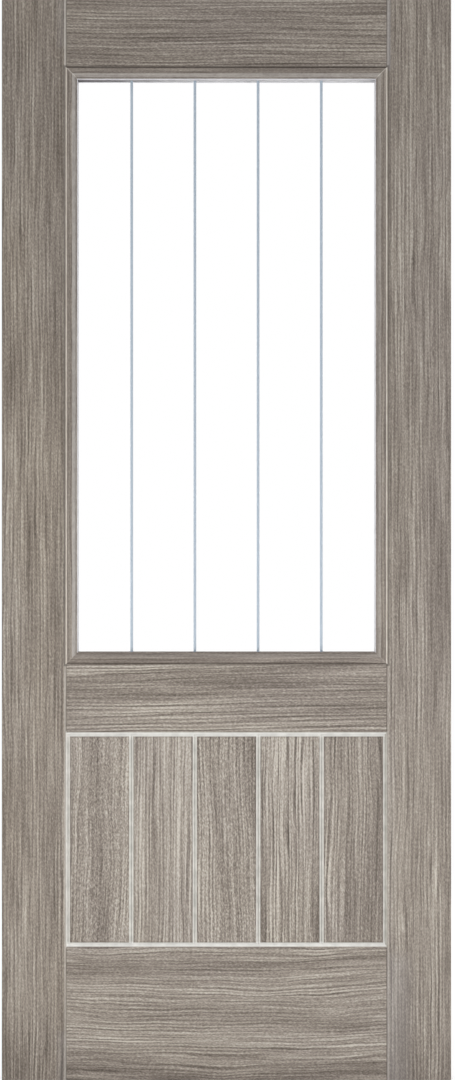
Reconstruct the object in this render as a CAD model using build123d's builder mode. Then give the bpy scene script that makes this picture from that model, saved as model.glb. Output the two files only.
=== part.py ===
from build123d import *
import os

# Glazed interior door leaf. All sizes are in millimetres.
# X runs across the leaf, Y from the front face to the back face, and Z up.
# The leaf hangs by its left edge, and the origin is on that edge's face, midway up
# and midway through the thickness. The back repeats the front.

os.makedirs("parts", exist_ok=True)

# Leaf
leaf_width = 844
leaf_height = 2030
leaf_thickness = 40
arris_radius = 1.5

# Frame members, each over its full width, and the height of the boarded panel
stile_width = 124
top_rail_width = 131
lock_rail_width = 136
bottom_rail_width = 255
panel_height = 395

# The chamfer worked along every inner edge of the frame and every edge of a board.
# Two of them facing each other make a V-groove with an open joint at its bottom.
v_chamfer = 4.4
joint_gap = 0.4

# Rails and beads stop this much short of the chamfer's outer line, which leaves a fine
# open quirk beside them
quirk_width = 2

# Boards of the lower panel, joined by tongues
board_count = 5
tongue_thickness = 12
tongue_length = 10
tongue_side_clearance = 0.15
tongue_end_clearance = 1

# Pane, its cut lines and the tape that beds it
glass_thickness = 4
glass_edge_clearance = 3
cut_line_width = 5.6
cut_line_depth = 1.4
tape_thickness = 2
tape_setback = 2

# Glazing bead: its reach into the opening, its rise above the frame and its moulded face
bead_reach = 18
bead_rise = 3
bead_fit = 0.2
bead_arris_radius = 1.8
ovolo_width = 6.5
ovolo_drop = 4.5
ledge_step = 1
ledge_width = 3
sight_edge_radius = 0.8

# Levels and places worked out from the sizes above
half_thickness = leaf_thickness / 2
leaf_foot = -leaf_height / 2
panel_foot = leaf_foot + bottom_rail_width
panel_head = panel_foot + panel_height
glazed_foot = panel_head + lock_rail_width
glazed_head = leaf_foot + leaf_height - top_rail_width
opening_left = stile_width
opening_right = leaf_width - stile_width
opening_width = opening_right - opening_left
opening_middle = leaf_width / 2
glazed_height = glazed_head - glazed_foot
glazed_middle = (glazed_foot + glazed_head) / 2
panel_middle = (panel_foot + panel_head) / 2
board_pitch = opening_width / board_count
groove_width = tongue_thickness + 2 * tongue_side_clearance
groove_depth = tongue_length + tongue_end_clearance
bead_seat = glass_thickness / 2 + tape_thickness
bead_face = half_thickness + bead_rise


def write(piece, name):
    """Label a finished piece and write it to its own file."""
    piece.part.label = name
    export_step(piece.part, f"parts/{name}.step")


# Stiles, full height. The inner edge is chamfered on both faces and ploughed for the boards.
def stile(outer_edge, inner_edge):
    inward = 1 if inner_edge > outer_edge else -1
    chamfer_start = inner_edge - inward * v_chamfer
    with BuildPart() as member:
        with BuildSketch(Plane.XY.offset(leaf_foot)):
            with BuildLine():
                Polyline(
                    (outer_edge, -half_thickness),
                    (chamfer_start, -half_thickness),
                    (inner_edge, -half_thickness + v_chamfer),
                    (inner_edge, half_thickness - v_chamfer),
                    (chamfer_start, half_thickness),
                    (outer_edge, half_thickness),
                    close=True,
                )
            make_face()
        extrude(amount=leaf_height)
        edge_face = member.faces().filter_by(Axis.X).sort_by(Axis.X, reverse=inward < 0)[0]
        fillet(edge_face.edges() + member.edges().filter_by(Axis.X), arris_radius)
        with BuildSketch(Plane.YZ.offset(inner_edge)):
            with Locations((0, panel_middle)):
                Rectangle(groove_width, panel_height)
        extrude(amount=-inward * groove_depth, mode=Mode.SUBTRACT)
    return member


left_stile = stile(0, opening_left)
write(left_stile, "left_stile")
right_stile = stile(leaf_width, opening_right)
write(right_stile, "right_stile")


# Rails. Each end is scribed over the chamfers of the stiles and stops at the quirk.
def rail(foot, width, moulded_foot, moulded_head, ploughed_edges):
    scribe_reach = v_chamfer - quirk_width
    with BuildPart() as member:
        with BuildSketch(Plane.YZ.offset(opening_left - scribe_reach)) as section:
            with Locations((0, foot + width / 2)):
                Rectangle(leaf_thickness, width)
            if moulded_foot:
                chamfer(section.vertices().group_by(Axis.Y)[0], v_chamfer)
            if moulded_head:
                chamfer(section.vertices().group_by(Axis.Y)[-1], v_chamfer)
            if not moulded_foot:
                fillet(section.vertices().group_by(Axis.Y)[0], arris_radius)
            if not moulded_head:
                fillet(section.vertices().group_by(Axis.Y)[-1], arris_radius)
            for edge in ploughed_edges:
                with Locations((0, edge)):
                    Rectangle(groove_width, 2 * groove_depth, mode=Mode.SUBTRACT)
        extrude(amount=opening_width + 2 * scribe_reach)
        with BuildSketch(Plane.XY.offset(leaf_foot)):
            with BuildLine():
                Polyline(
                    (opening_left - 2 * v_chamfer, -half_thickness - v_chamfer),
                    (opening_left, -half_thickness + v_chamfer),
                    (opening_left, half_thickness - v_chamfer),
                    (opening_left - 2 * v_chamfer, half_thickness + v_chamfer),
                    close=True,
                )
            make_face()
            mirror(about=Plane.YZ.offset(opening_middle))
        extrude(amount=leaf_height, mode=Mode.SUBTRACT)
    return member


top_rail = rail(glazed_head, top_rail_width, True, False, [])
write(top_rail, "top_rail")
lock_rail = rail(panel_head, lock_rail_width, True, True, [panel_head])
write(lock_rail, "lock_rail")
bottom_rail = rail(leaf_foot, bottom_rail_width, False, True, [panel_foot])
write(bottom_rail, "bottom_rail")


# Boards, flush with the frame on both faces. Every edge and end is chamfered.
# A tongue goes into the next board or the frame, and each board but the first
# is grooved for the tongue of the one before it.
def panel_board(number):
    board_width = board_pitch - joint_gap
    board_length = panel_height - joint_gap
    board_middle = opening_left + (number + 0.5) * board_pitch
    with BuildPart() as board:
        with Locations((board_middle, 0, panel_middle)):
            Box(board_width, leaf_thickness, board_length)
        chamfer(board.faces().filter_by(Axis.Y).edges(), v_chamfer)
        with Locations((board_middle, 0, panel_middle)):
            Box(board_width, tongue_thickness, board_length + 2 * tongue_length)
        with Locations((board_middle + board_width / 2, 0, panel_middle)):
            Box(tongue_length, tongue_thickness, board_length, align=(Align.MIN, Align.CENTER, Align.CENTER))
        with Locations((board_middle - board_width / 2, 0, panel_middle)):
            if number == 0:
                Box(tongue_length, tongue_thickness, board_length, align=(Align.MAX, Align.CENTER, Align.CENTER))
            else:
                Box(2 * groove_depth, groove_width, leaf_height, mode=Mode.SUBTRACT)
    return board


for number in range(board_count):
    write(panel_board(number), f"panel_board_{number + 1}")


# Pane, with shallow V-cut lines down its front in line with the joints between the boards
pane_width = opening_width - 2 * glass_edge_clearance
pane_height = glazed_height - 2 * glass_edge_clearance

with BuildPart() as glass_pane:
    with Locations((opening_middle, 0, glazed_middle)):
        Box(pane_width, glass_thickness, pane_height)
    with BuildSketch(Plane.XY.offset(glazed_foot + glass_edge_clearance)):
        for number in range(1, board_count):
            line_centre = opening_left + number * board_pitch
            with BuildLine():
                Polyline(
                    (line_centre - cut_line_width / 2, -glass_thickness / 2),
                    (line_centre, -glass_thickness / 2 + cut_line_depth),
                    (line_centre + cut_line_width / 2, -glass_thickness / 2),
                    close=True,
                )
            make_face()
    extrude(amount=pane_height, mode=Mode.SUBTRACT)
write(glass_pane, "glass_pane")


# Tape between the pane and the beads, on each side, set back from the sight edge
def glazing_tape(outward):
    tape_inner_edge = bead_reach - tape_setback
    with BuildPart() as tape:
        with BuildSketch(Plane.XZ.offset(-outward * glass_thickness / 2)):
            with Locations((opening_middle, glazed_middle)):
                Rectangle(pane_width, pane_height)
                Rectangle(
                    opening_width - 2 * tape_inner_edge,
                    glazed_height - 2 * tape_inner_edge,
                    mode=Mode.SUBTRACT,
                )
        extrude(amount=-outward * tape_thickness)
    return tape


write(glazing_tape(-1), "front_glazing_tape")
write(glazing_tape(1), "back_glazing_tape")


# Glazing beads, mitred at the corners. The section is drawn with its first axis running
# into the opening from the frame's inner edge, and its second axis running away from the pane.
def glazing_bead(edge_middle, inward, outward, edge_length):
    outer_edge = quirk_width - v_chamfer
    ovolo_foot = bead_reach - ledge_width
    ledge_level = bead_face - ovolo_drop - ledge_step
    half_length = edge_length / 2
    past_mitre = half_length + bead_reach
    along = inward.cross(outward)
    with BuildPart() as bead:
        with BuildSketch(Plane(edge_middle - along * past_mitre, x_dir=inward, z_dir=along)) as section:
            with BuildLine():
                Polyline(
                    (ovolo_foot - ovolo_width, bead_face),
                    (outer_edge, bead_face),
                    (outer_edge, half_thickness - quirk_width + bead_fit),
                    (bead_fit, half_thickness - v_chamfer),
                    (bead_fit, bead_seat),
                    (bead_reach, bead_seat),
                    (bead_reach, ledge_level),
                    (ovolo_foot, ledge_level),
                    (ovolo_foot, bead_face - ovolo_drop),
                )
                TangentArc(
                    (ovolo_foot - ovolo_width, bead_face),
                    (ovolo_foot, bead_face - ovolo_drop),
                    tangent=(1, 0),
                )
            make_face()
            fillet(section.vertices().group_by(Axis.Y)[-1].sort_by(Axis.X)[0], bead_arris_radius)
            fillet(section.vertices().group_by(Axis.X)[-1].sort_by(Axis.Y)[-1], sight_edge_radius)
        extrude(amount=2 * past_mitre)
        with BuildSketch(Plane(edge_middle, x_dir=inward, z_dir=outward)):
            with BuildLine():
                Polyline(
                    (-bead_reach, half_length + bead_reach),
                    (2 * bead_reach, half_length - 2 * bead_reach),
                    (2 * bead_reach, 2 * bead_reach - half_length),
                    (-bead_reach, -bead_reach - half_length),
                    close=True,
                )
            make_face()
        extrude(amount=leaf_thickness, mode=Mode.INTERSECT)
    return bead


across = Vector(1, 0, 0)
through = Vector(0, 1, 0)
up = Vector(0, 0, 1)
opening_edges = {
    "left": (Vector(opening_left, 0, glazed_middle), across, glazed_height),
    "right": (Vector(opening_right, 0, glazed_middle), -across, glazed_height),
    "top": (Vector(opening_middle, 0, glazed_head), -up, opening_width),
    "bottom": (Vector(opening_middle, 0, glazed_foot), up, opening_width),
}
for face, outward in {"front": -through, "back": through}.items():
    for side, (edge_middle, inward, edge_length) in opening_edges.items():
        write(glazing_bead(edge_middle, inward, outward, edge_length), f"{face}_{side}_bead")
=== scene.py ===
import math

import bpy
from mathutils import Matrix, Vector


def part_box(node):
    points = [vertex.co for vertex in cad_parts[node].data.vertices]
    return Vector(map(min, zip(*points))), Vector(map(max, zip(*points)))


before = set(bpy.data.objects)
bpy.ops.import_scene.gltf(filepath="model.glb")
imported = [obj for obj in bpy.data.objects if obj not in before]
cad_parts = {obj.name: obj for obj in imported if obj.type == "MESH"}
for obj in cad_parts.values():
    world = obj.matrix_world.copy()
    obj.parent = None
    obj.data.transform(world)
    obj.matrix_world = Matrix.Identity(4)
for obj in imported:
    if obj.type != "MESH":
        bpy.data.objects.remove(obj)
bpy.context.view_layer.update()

# Places on the leaf, in metres, read from the pieces themselves
stile_low, stile_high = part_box("left_stile")
leaf_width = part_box("right_stile")[1].x
leaf_middle = leaf_width / 2
leaf_foot = stile_low.z
leaf_height = stile_high.z - leaf_foot
face_level = stile_high.y
opening_left = stile_high.x
opening_width = leaf_width - 2 * opening_left
panel_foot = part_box("bottom_rail")[1].z
panel_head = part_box("lock_rail")[0].z
panel_middle = (panel_foot + panel_head) / 2
panel_height = panel_head - panel_foot
glazed_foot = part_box("lock_rail")[1].z
glazed_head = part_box("top_rail")[0].z
glazed_middle = (glazed_foot + glazed_head) / 2
glazed_height = glazed_head - glazed_foot
board_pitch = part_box("panel_board_3")[0].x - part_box("panel_board_2")[0].x
pane_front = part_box("glass_pane")[0].y

# Sizes of the joinery, in metres: the chamfers, the beads' reach over the pane, where the beads'
# ovolo starts and ends in from the frame, and half a cut line of the pane
chamfer_width = 0.0044
bead_reach = 0.018
ovolo_start = 0.0085
ovolo_end = 0.015
cut_half_width = 0.0028


class Term:
    """A number or colour that varies over a surface, for use in plain expressions."""

    def __init__(self, finish, socket):
        self.finish = finish
        self.socket = socket

    def maths(self, operation, *terms):
        return self.finish.add("ShaderNodeMath", {"operation": operation}, dict(enumerate(terms)))

    def __add__(self, other):
        return self.maths("ADD", self, other)

    def __radd__(self, other):
        return self.maths("ADD", other, self)

    def __sub__(self, other):
        return self.maths("SUBTRACT", self, other)

    def __rsub__(self, other):
        return self.maths("SUBTRACT", other, self)

    def __mul__(self, other):
        return self.maths("MULTIPLY", self, other)

    def __rmul__(self, other):
        return self.maths("MULTIPLY", other, self)

    def __truediv__(self, other):
        return self.maths("DIVIDE", self, other)

    def __abs__(self):
        return self.maths("ABSOLUTE", self)

    def larger(self, other):
        return self.maths("MAXIMUM", self, other)

    def fraction(self):
        return self.maths("FRACT", self)

    def zigzag(self):
        """1 at every whole number, with a straight fall to 0 midway between them."""
        return abs(self.fraction() * 2 - 1)

    def rise(self, start, end):
        """0 below start, 1 above end, and a smooth rise between them."""
        sockets = {"Value": self, "From Min": start, "From Max": end}
        return self.finish.add("ShaderNodeMapRange", {"interpolation_type": "SMOOTHSTEP"}, sockets)

    def band(self, start, end, edge):
        """1 between start and end, 0 elsewhere, with soft edges."""
        return self.rise(start - edge, start) * (1 - self.rise(end, end + edge))


class Finish:
    """The shader of a material, or of the studio's surroundings."""

    def __init__(self, owner):
        owner.use_nodes = True
        self.owner = owner
        self.nodes = owner.node_tree.nodes
        self.links = owner.node_tree.links

    def add(self, kind, settings=None, sockets=None, output=0):
        """A node of that kind: its settings are made first, then its sockets are filled."""
        node = self.nodes.new(kind)
        for name, value in (settings or {}).items():
            if name == "stops":
                self.set_stops(node.color_ramp, value)
            else:
                setattr(node, name, value)
        for name, value in (sockets or {}).items():
            self.fill(node.inputs[name], value)
        return Term(self, node.outputs[output])

    def set_stops(self, ramp, stops):
        while len(ramp.elements) < len(stops):
            ramp.elements.new(0.5)
        for element, (position, colour) in zip(ramp.elements, stops):
            element.position = position
            element.color = colour

    def fill(self, socket, value):
        if isinstance(value, Term):
            self.links.new(value.socket, socket)
        else:
            socket.default_value = value

    def set(self, **values):
        """Fills the main shader's sockets. An underscore stands for a space."""
        for name, value in values.items():
            self.fill(self.nodes["Principled BSDF"].inputs[name.replace("_", " ")], value)

    def place(self):
        """The point's own x, y and z on the door, in metres."""
        point = self.add("ShaderNodeTexCoord", output="Object")
        outputs = self.add("ShaderNodeSeparateXYZ", sockets={0: point}).socket.node.outputs
        return [Term(self, output) for output in outputs]

    def noise(self, x, y, z, detail=2.0, roughness=0.5):
        """Soft noise around 0, with one wave to a unit of each coordinate."""
        point = self.add("ShaderNodeCombineXYZ", sockets={0: x, 1: y, 2: z})
        sockets = {"Vector": point, "Scale": 1.0, "Detail": detail, "Roughness": roughness}
        return self.add("ShaderNodeTexNoise", sockets=sockets) - 0.5

    def ramp(self, value, stops):
        return self.add("ShaderNodeValToRGB", {"stops": stops}, {"Fac": value})

    def mix(self, share, first, second, blend="MIX"):
        settings = {"data_type": "RGBA", "blend_type": blend}
        return self.add("ShaderNodeMix", settings, {0: share, 6: first, 7: second}, output=2)

    def bump(self, height, distance, strength):
        sockets = {"Height": height, "Distance": distance, "Strength": strength}
        return self.add("ShaderNodeBump", sockets=sockets)


def material_finish(name):
    return Finish(bpy.data.materials.new(name))


def tone(red, green, blue):
    """A colour given as it looks on screen, 0 to 255, as the shaders want it."""
    levels = []
    for level in (red, green, blue):
        share = level / 255
        levels.append(share / 12.92 if share <= 0.04045 else ((share + 0.055) / 1.055) ** 2.4)
    return (*levels, 1.0)


black = tone(0, 0, 0)
white = tone(255, 255, 255)

# The taupe wood print, from its darkest grain line to its palest streak
wood_stops = [
    (0.0, tone(83, 75, 67)),
    (0.3, tone(118, 109, 101)),
    (0.5, tone(142, 133, 124)),
    (0.72, tone(166, 158, 148)),
    (1.0, tone(199, 193, 183)),
]

# What lies over the print, each in its dull and its clean tone. The lit and shaded silvers, groove shade,
# dark shade lines, bead rim, reveal shadow and lilac ovolo are painted light and shade; the pale lines are
# partly a painted highlight
silver_tones = (tone(208, 207, 202), tone(231, 229, 224))
# Painted light: a lighter copy of the silver for the horizontal chamfers
lit_silver_tones = (tone(213, 212, 209), tone(231, 230, 227))
shaded_silver_tones = (tone(176, 173, 166), tone(200, 197, 190))
groove_shade_tones = (tone(150, 149, 143), tone(172, 171, 165))
pale_line_and_highlight_tones = (tone(238, 231, 222), tone(253, 248, 241))
# Painted shade, laid as dark lines beside grooves, beads and chamfers
painted_shade_tones = (tone(60, 52, 48), tone(82, 73, 67))
haze_tones = (tone(150, 148, 150), tone(164, 162, 165))
painted_reflection_tones = (tone(176, 171, 167), tone(204, 199, 195))
highlight_rim_tones = (tone(206, 205, 211), tone(228, 227, 232))
reveal_shadow_tones = (tone(52, 44, 52), tone(74, 65, 73))
core_tones = (tone(168, 146, 116), tone(206, 188, 158))


def face_depth(y):
    """How deep a point lies under the nearer face of the leaf."""
    return face_level - abs(y)


def below_face(y):
    """1 on what lies under the leaf's faces, such as a chamfer, and 0 on the faces."""
    return face_depth(y).rise(0.0004, 0.001)


def onto_stile(x):
    """How far a point is onto a stile from its inner edge. It is below 0 between the stiles."""
    return abs(x - leaf_middle) - opening_width / 2


def past_pane_end(z):
    """How far a point is above or below the glazed opening. It is below 0 within its height."""
    return abs(z - glazed_middle) - glazed_height / 2


def past_panel_end(z):
    """How far a point is above or below the boarded panel. It is below 0 within its height."""
    return abs(z - panel_middle) - panel_height / 2


def outside_pane(x, z):
    """How far a point is outside the glazed opening. It is below 0 inside it."""
    return onto_stile(x).larger(past_pane_end(z))


def outside_panel(x, z):
    """How far a point is outside the boarded panel. It is below 0 inside it."""
    return onto_stile(x).larger(past_panel_end(z))


def within_panel_border(x, z):
    """1 on the panel and the chamfers round it, and 0 a hair beyond them."""
    return 1 - outside_panel(x, z).rise(chamfer_width + 0.0008, chamfer_width + 0.0014)


def from_joint(x):
    """How far a point is from the nearest joint between boards."""
    return abs(((x - opening_left) / board_pitch + 0.5).fraction() - 0.5) * board_pitch


def panel_chamfer(x, y, z):
    """The frame's chamfers round the boarded panel."""
    return below_face(y) * within_panel_border(x, z)


def whole_chamfer(x, y, z):
    """Every chamfer of a board."""
    return below_face(y)


def board_end(x, y, z):
    """The chamfers across the ends of a board."""
    return below_face(y) * past_panel_end(z).rise(-chamfer_width - 0.0006, -chamfer_width)


def groove_bottom(x, y, z):
    """The bottom of an upright V-groove, darkened with painted shade."""
    upright = 1 - past_panel_end(z).rise(-0.006, -0.004)
    return face_depth(y).rise(0.0016, chamfer_width) * within_panel_border(x, z) * upright


def shade_beside_panel(x, y, z):
    """A dark line of painted shade on a rail along the panel's border."""
    return outside_panel(x, z).band(0.0046, 0.0072, edge=0.002)


def shade_on_board(x, y, z):
    """A dark line of painted shade on the face of a board along its edges and ends."""
    return (0 - from_joint(x)).larger(past_panel_end(z)).rise(-0.0082, -0.0052)


def quirk_beside_bead(x, y, z):
    """The stile's open chamfer beside the bead: a pale coat, brightened with a painted highlight."""
    return outside_pane(x, z).band(-0.001, 0.004, edge=0.0003)


def joint_beside_rail(at_head, at_foot):
    """The pale line of the stile's open chamfer beside a rail's end, with a hair of the face."""
    def share(x, y, z):
        beside = 1 - onto_stile(x).rise(0.0056, 0.0078)
        return beside * (at_foot + z.rise(0.2, 0.8) * (at_head - at_foot))
    return share


def shade_beside_joint(x, y, z):
    """A faint dark line of painted shade along the inner edge of a stile."""
    return onto_stile(x).band(0.0094, 0.0114, edge=0.0012)


def lilac_haze(low, high, width, edge):
    """A greyish lilac bloom in the print along a stile's inner edge, from low to high."""
    def share(x, y, z):
        return onto_stile(x).band(0.0, width, edge) * z.band(low, high, edge)
    return share


def shade_beside_bead(x, y, z):
    """Painted shade on the stile's chamfer and face along the bead, where the proud bead shades them."""
    outside = outside_pane(x, z)
    return outside.rise(0.004, chamfer_width) * (1 - outside.rise(0.006, 0.0095))


def shade_in_rail_chamfer(x, y, z):
    """Painted shade in the open chamfer of a rail along the bead."""
    return outside_pane(x, z).band(-0.001, 0.006, edge=0.0014)


def bead_arris(x, y, z):
    """The outer arris of an upright bead, seen as a fine pale line: partly the laminate's pale edge, partly
    a painted highlight.
    """
    return outside_pane(x, z).rise(0.0013, 0.0017)


def bead_ovolo(x, y, z):
    """The bead's moulding, painted paler and lilac as a reflection of the white surroundings, more on some
    sides than others.
    """
    return (0 - outside_pane(x, z)).band(ovolo_start, ovolo_end - 0.0005, edge=0.001)


def sight_edge(x, y, z):
    """The bead's side against the glass, painted paler as a highlight."""
    return (0 - outside_pane(x, z)).rise(bead_reach - 0.0012, bead_reach - 0.0006)


def mitre_line(x, y, z):
    """The open hair of a mitre. It is fainter at the lower corners."""
    from_mitre = abs(onto_stile(x) - past_pane_end(z))
    return (1 - from_mitre.rise(0.0005, 0.0013)) * (0.1 + z.rise(0.3, 0.6) * 0.28)


def reveal_shadow(x, y, z):
    """The dark line between the top bead and the pane, which fades out towards the middle."""
    near_pane = 1 - abs(y).rise(0.0095, 0.0125)
    return sight_edge(x, y, z) * near_pane * (1 - x.rise(0.13, 0.42))


def sawn_end(x, y, z):
    """The leaf's head and foot edges, which show the bare core."""
    return abs(z).rise(leaf_height / 2 - 0.0005, leaf_height / 2 - 0.0002) * below_face(y)


def laminate(name, lengthwise, coats, start, lightness=0.5, contrast=1.0, wander=0.01, slant=0.0,
             tick=1.0, ring=0.2, waver=0.005, length=1.0, tint=tone(247, 246, 252)):
    """The wood print on one piece. lengthwise is the axis that the grain runs along. Each coat is a
    function that says where it lies over the print, its strength, and its two tones. start is where
    in the print the piece was cut. wander is how far the grain strays sideways, slant its lean, tick
    the strength of its short dashes, ring that of its dark lines, waver how far those sway and length
    how far its figures run. tint is the cast of its tinted patches."""
    finish = material_finish(name)
    x, y, z = finish.place()
    across, along = (x, z) if lengthwise == "Z" else (z, x)
    across = across + along * slant + 3.7 * start
    along = along + 1.9 * start
    figure = along / length
    drift = finish.noise(across * 5, y * 5, along * 2)
    ripple = finish.noise(across * 24, y * 24, figure * 9)
    grain = across + drift * wander + ripple * waver

    def figures(waves_across, waves_along, detail=2.0, roughness=0.5):
        """Soft noise with so many waves to a metre across the grain, and so many along it."""
        return finish.noise(grain * waves_across, y * waves_across, figure * waves_along, detail, roughness)

    fibres = figures(300, 7, roughness=0.6)
    streaks = figures(95, 4, roughness=0.6)
    bands = figures(34, 1.9, detail=1.0)
    clouds = figures(13, 2.8)
    dashes = finish.noise(grain * 560, y * 560, along * 210, roughness=0.6)
    flecks = finish.noise((grain + along * 0.3) * 430, y * 430, along * 95, detail=1.0).rise(0.06, 0.24)
    fine_lines = (grain * 146 + streaks * 1.5).zigzag() - 0.5
    rings = (grain * 66 + streaks * 1.1 + clouds * 3).zigzag()
    ringed = clouds.rise(-0.12, 0.14)
    ring_lines = (1 - rings).rise(0.66, 0.95) * ringed
    pale_sides = rings.band(0.42, 0.55, edge=0.1) * ringed
    # Painted shade: the wood darkens towards the leaf's foot, over more of its height on an upright piece
    shade_height = 0.13 if lengthwise == "Z" else 0.05
    foot_shade = 1 - z.rise(leaf_foot, leaf_foot + shade_height)

    print_tone = lightness + contrast * (
        fibres
        + streaks * 0.4
        + bands * 0.44
        + clouds * 0.4
        + dashes * tick
        + (flecks - 0.15) * tick * 0.12
        + fine_lines * (0.1 + bands.rise(-0.2, 0.15) * 0.24)
        - (ring_lines - pale_sides * 0.5 - 0.05) * ring
    ) - foot_shade * 0.12
    wood = finish.ramp(print_tone, wood_stops)
    tinted = finish.noise(across * 7 + 9, y * 7, along * 3).rise(-0.12, 0.2)
    wood = finish.mix(tinted * 0.4, wood, tint, "MULTIPLY")
    relief = fibres + dashes * 0.8 - ring_lines * 0.4

    soil = finish.noise(x * 70, y * 70, z * 70, detail=3.0).rise(-0.25, 0.25)
    for lies_at, strength, (dull, clean) in coats:
        share = lies_at(x, y, z) * strength
        wood = finish.mix(share, wood, finish.mix(soil, dull, clean))
        relief = relief * (1 - share)
    finish.set(
        Base_Color=wood,
        Roughness=0.55 + fibres * 0.25,
        Specular_IOR_Level=0.3,
        Normal=finish.bump(relief, 0.0003, 0.6),
    )
    return finish.owner


def dress(node, material):
    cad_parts[node].data.materials.clear()
    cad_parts[node].data.materials.append(material)


sawn_coat = (sawn_end, 1.0, core_tones)
# Painted shade at the bottom of the upright V-grooves
groove_shade_coat = (groove_bottom, 0.45, groove_shade_tones)

both_stiles_coats = [
    (shade_beside_joint, 0.1, painted_shade_tones),
    groove_shade_coat,
    (quirk_beside_bead, 1.0, pale_line_and_highlight_tones),
    (shade_beside_bead, 0.66, painted_shade_tones),
    sawn_coat,
]
stile_coats = {
    "left_stile": [
        (lilac_haze(low=0.93, high=1.1, width=0.013, edge=0.013), 0.15, haze_tones),
        (lilac_haze(low=-1.1, high=-0.93, width=0.013, edge=0.013), 0.16, haze_tones),
        (joint_beside_rail(at_head=0.4, at_foot=0.27), 1.0, pale_line_and_highlight_tones),
        (panel_chamfer, 1.0, silver_tones),
    ],
    "right_stile": [
        (lilac_haze(low=-1.1, high=-0.37, width=0.013, edge=0.013), 0.06, haze_tones),
        (lilac_haze(low=-1.1, high=-0.8, width=0.026, edge=0.04), 0.2, haze_tones),
        (lilac_haze(low=0.882, high=1.1, width=0.009, edge=0.002), 0.42, haze_tones),
        (joint_beside_rail(at_head=0.1, at_foot=0.12), 1.0, pale_line_and_highlight_tones),
        (panel_chamfer, 1.0, shaded_silver_tones),
    ],
}
stile_cuts = {
    "left_stile": dict(start=0.7, lightness=0.48, contrast=0.96, wander=0.008, tint=tone(253, 249, 240)),
    "right_stile": dict(start=2.31, contrast=0.92, wander=0.008),
}
for stile, print_cut in stile_cuts.items():
    coats = stile_coats[stile] + both_stiles_coats
    dress(stile, laminate(f"{stile}_laminate", "Z", coats, **print_cut))

# Painted shade lines on the rails beside the panel and the bead
rail_shades = {
    "top_rail": [(shade_in_rail_chamfer, 0.62, painted_shade_tones)],
    "lock_rail": [(shade_beside_panel, 0.3, painted_shade_tones), (shade_in_rail_chamfer, 0.3, painted_shade_tones)],
    "bottom_rail": [(shade_beside_panel, 0.1, painted_shade_tones)],
}
rail_cuts = {
    "top_rail": dict(start=3.37, contrast=1.1, wander=0.02, length=1.7),
    "lock_rail": dict(start=4.62, lightness=0.48, contrast=1.1, wander=0.02, slant=-0.02, waver=0.007,
                      length=1.7),
    "bottom_rail": dict(start=6.14, lightness=0.53, contrast=1.05, wander=0.05, waver=0.013, length=1.3),
}
for rail, print_cut in rail_cuts.items():
    coats = rail_shades[rail] + [(panel_chamfer, 1.0, lit_silver_tones), sawn_coat]
    dress(rail, laminate(f"{rail}_laminate", "X", coats, **print_cut))

board_coats = [
    (shade_on_board, 0.22, painted_shade_tones),
    (whole_chamfer, 1.0, silver_tones),
    (board_end, 1.0, lit_silver_tones),
    groove_shade_coat,
]
board_cuts = {
    "panel_board_1": dict(start=6.21, lightness=0.55, contrast=0.94, wander=0.07, slant=-0.03, tick=1.6,
                          ring=0.08, waver=0.01),
    "panel_board_2": dict(start=8.14, lightness=0.6, contrast=1.1, wander=0.02, ring=0.24, waver=0.007),
    "panel_board_3": dict(start=9.26, lightness=0.55, contrast=1.15, wander=0.03, slant=0.01, tick=1.3,
                          ring=0.14, waver=0.01),
    "panel_board_4": dict(start=9.31, lightness=0.63, contrast=1.5, wander=0.03, slant=-0.01, tick=0.8,
                          ring=0.24, waver=0.007),
    "panel_board_5": dict(start=10.4, lightness=0.48, contrast=1.05, wander=0.02, tick=1.1, waver=0.007),
}
for board, print_cut in board_cuts.items():
    dress(board, laminate(f"{board}_laminate", "Z", board_coats, length=1.3, **print_cut))

# A painted highlight along the beads' sides against the glass
highlight_rim_coat = (sight_edge, 0.85, highlight_rim_tones)
# The upright beads' pale arris line is partly a painted highlight
upright_bead_coats = [highlight_rim_coat, (bead_arris, 0.95, pale_line_and_highlight_tones)]
top_bead_coats = [highlight_rim_coat, (reveal_shadow, 0.85, reveal_shadow_tones)]

# For each side, the way its grain runs, its lightness, how much painted reflection pales its ovolo, and its
# own coats
bead_sides = {
    "left": ("Z", 0.42, 0.5, upright_bead_coats),
    "right": ("Z", 0.42, 0.24, upright_bead_coats),
    "top": ("X", 0.48, 0.42, top_bead_coats),
    "bottom": ("X", 0.4, 0.12, []),
}
for face_number, face in enumerate(("front", "back")):
    for side_number, (side, bead_side) in enumerate(bead_sides.items()):
        lengthwise, lightness, ovolo_reflection, own_coats = bead_side
        bead = f"{face}_{side}_bead"
        start = 11.3 + 1.27 * side_number + 6.1 * face_number
        coats = [(bead_ovolo, ovolo_reflection, painted_reflection_tones), (mitre_line, 1.0, pale_line_and_highlight_tones), *own_coats]
        dress(bead, laminate(f"{bead}_laminate", lengthwise, coats, start, lightness, contrast=0.7))


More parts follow.
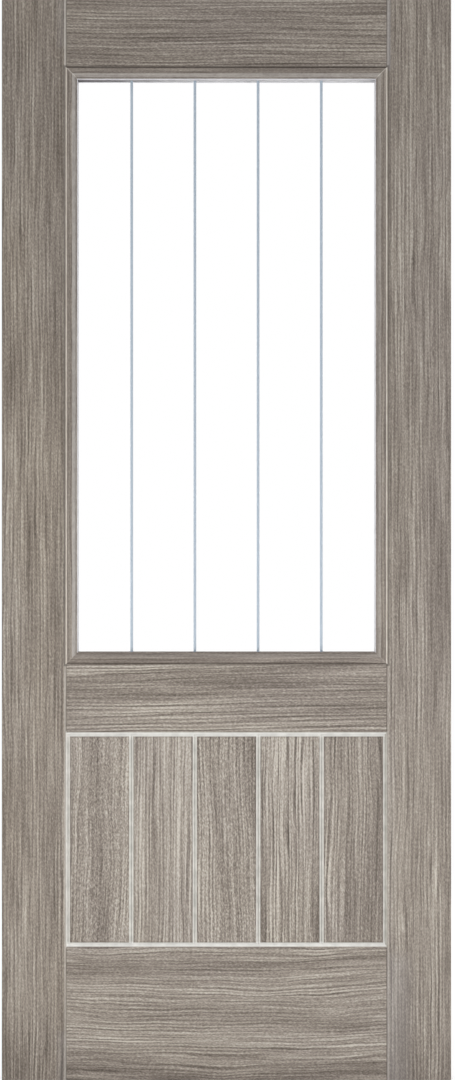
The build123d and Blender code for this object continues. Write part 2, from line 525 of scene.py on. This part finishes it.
def pane_glass():
    """Clear glass, greenish at its edges, whose V-cut lines are ground to a pale blue grey."""
    finish = material_finish("pane_glass")
    x, y, z = finish.place()
    under_front = (y - pane_front).rise(0.00005, 0.0002) * (1 - y.rise(-0.0004, -0.0002))
    in_cut = under_front * (1 - from_joint(x).rise(cut_half_width + 0.0003, cut_half_width + 0.0005))
    at_edge = outside_pane(x, z).rise(-0.006, -0.0035)
    finish.set(
        Base_Color=finish.mix(at_edge, white, tone(196, 226, 214)),
        Roughness=0.0,
        IOR=1.5,
        Transmission_Weight=1.0,
    )
    clear = Term(finish, finish.nodes["Principled BSDF"].outputs[0])
    grit = finish.noise(x * 900, y * 900, z * 300).rise(-0.3, 0.3)
    ground_tone = finish.mix(grit, tone(166, 181, 196), tone(190, 201, 212))
    sockets = {"Base Color": ground_tone, "Roughness": 0.45, "IOR": 1.5}
    ground = finish.add("ShaderNodeBsdfPrincipled", sockets=sockets)
    cut_pane = finish.add("ShaderNodeMixShader", sockets={0: in_cut, 1: clear, 2: ground})
    lamp_ray = finish.add("ShaderNodeLightPath", output="Is Shadow Ray")
    see_through = finish.add("ShaderNodeBsdfTransparent", sockets={"Color": tone(247, 250, 249)})
    pane = finish.add("ShaderNodeMixShader", sockets={0: lamp_ray, 1: cut_pane, 2: see_through})
    finish.fill(finish.nodes["Material Output"].inputs["Surface"], pane)
    return finish.owner


def tape_foam():
    """Pale grey closed-cell tape."""
    finish = material_finish("glazing_tape_foam")
    x, y, z = finish.place()
    cells = finish.noise(x * 1500, y * 1500, z * 1500)
    finish.set(
        Base_Color=finish.mix(cells.rise(-0.3, 0.3), tone(150, 146, 140), tone(186, 182, 176)),
        Roughness=0.85,
        Normal=finish.bump(cells, 0.0002, 0.5),
    )
    return finish.owner


dress("glass_pane", pane_glass())
tape = tape_foam()
dress("front_glazing_tape", tape)
dress("back_glazing_tape", tape)


def studio_floor():
    """A pale floor at the leaf's foot. It goes over to plain white further off."""
    floor_size = 30
    bpy.ops.mesh.primitive_plane_add(size=floor_size, location=(leaf_middle, 0, leaf_foot))
    ground = bpy.context.object
    ground.name = "studio_floor"
    finish = material_finish("studio_floor_paint")
    x, y, z = finish.place()
    mottle = finish.noise(x * 3, y * 3, z * 3, detail=3.0).rise(-0.3, 0.3)
    paint = finish.mix(mottle, tone(232, 232, 231), tone(238, 238, 237))
    camera = finish.add("ShaderNodeLightPath", output="Is Camera Ray")
    seen = camera.larger(finish.add("ShaderNodeLightPath", output="Is Transmission Ray"))
    far = (x * x + y * y).rise(1.4, 6.5)
    glow = finish.mix(far, tone(190, 190, 190), white)
    finish.set(
        Base_Color=finish.mix(far * seen, paint, black),
        Roughness=0.8,
        Specular_IOR_Level=0.0,
        Emission_Color=finish.mix(seen, black, glow),
        Emission_Strength=1.0,
    )
    ground.data.materials.append(finish.owner)


def surroundings():
    """White where the camera, a reflection or the glass looks, and a plain level for the light."""
    plain_level = 0.42
    bpy.context.scene.world = bpy.data.worlds.new("studio")
    finish = Finish(bpy.context.scene.world)
    rays = [
        finish.add("ShaderNodeLightPath", output=f"Is {kind} Ray")
        for kind in ("Camera", "Glossy", "Transmission")
    ]
    seen = rays[0].larger(rays[1]).larger(rays[2])
    strength = plain_level + seen * (1 - plain_level)
    finish.fill(finish.nodes["Background"].inputs["Strength"], strength)
    finish.fill(finish.nodes["Background"].inputs["Color"], white)


def softbox(name, place, aim, size, power, colour):
    """A softbox that lights the leaf and isn't seen by the camera or through the glass."""
    light = bpy.data.lights.new(name, "AREA")
    light.shape = "RECTANGLE"
    light.size, light.size_y = size
    light.energy = power
    light.color = colour
    lamp = bpy.data.objects.new(name, light)
    bpy.context.scene.collection.objects.link(lamp)
    lamp.location = place
    lamp.rotation_euler = (Vector(aim) - Vector(place)).to_track_quat("-Z", "Y").to_euler()
    lamp.visible_camera = False
    lamp.visible_transmission = False


def photo_camera():
    """Square on to the front. The leaf's height fills the picture, a hair left of its middle."""
    distance = 4.0
    picture_rows = 1080
    seen_height = leaf_height * 0.999
    pixel = seen_height / picture_rows
    lens = bpy.data.cameras.new("photo_camera")
    lens.sensor_width = 36
    lens.lens = lens.sensor_width * distance / seen_height
    eye = bpy.data.objects.new("photo_camera", lens)
    bpy.context.scene.collection.objects.link(eye)
    eye.location = (leaf_middle + pixel, -face_level - distance, 0)
    eye.rotation_euler = (math.radians(90), 0, 0)
    bpy.context.scene.camera = eye


studio_floor()
surroundings()
warm = (1.0, 0.985, 0.96)
cool = (0.985, 0.995, 1.0)
tall = (1.6, 1.8)
wide = (1.8, 0.6)
softbox("left_softbox", (-1.6, -2.5, -0.25), (0.3, 0, -0.2), tall, 25, warm)
softbox("right_softbox", (2.5, -2.4, -0.15), (0.5, 0, -0.15), tall, 26, cool)
softbox("low_softbox", (0.42, -1.0, -0.56), (0.42, 0, -0.56), wide, 4.2, warm)
softbox("top_softbox", (0.42, -1.2, 2.4), (0.42, 0, -0.6), wide, 4, cool)
softbox("back_left_softbox", (-1.6, 2.5, -0.3), (0.3, 0, -0.4), tall, 27, cool)
softbox("back_right_softbox", (2.5, 2.4, -0.3), (0.5, 0, -0.4), tall, 27, warm)
bpy.context.scene.view_settings.view_transform = "Standard"
photo_camera()
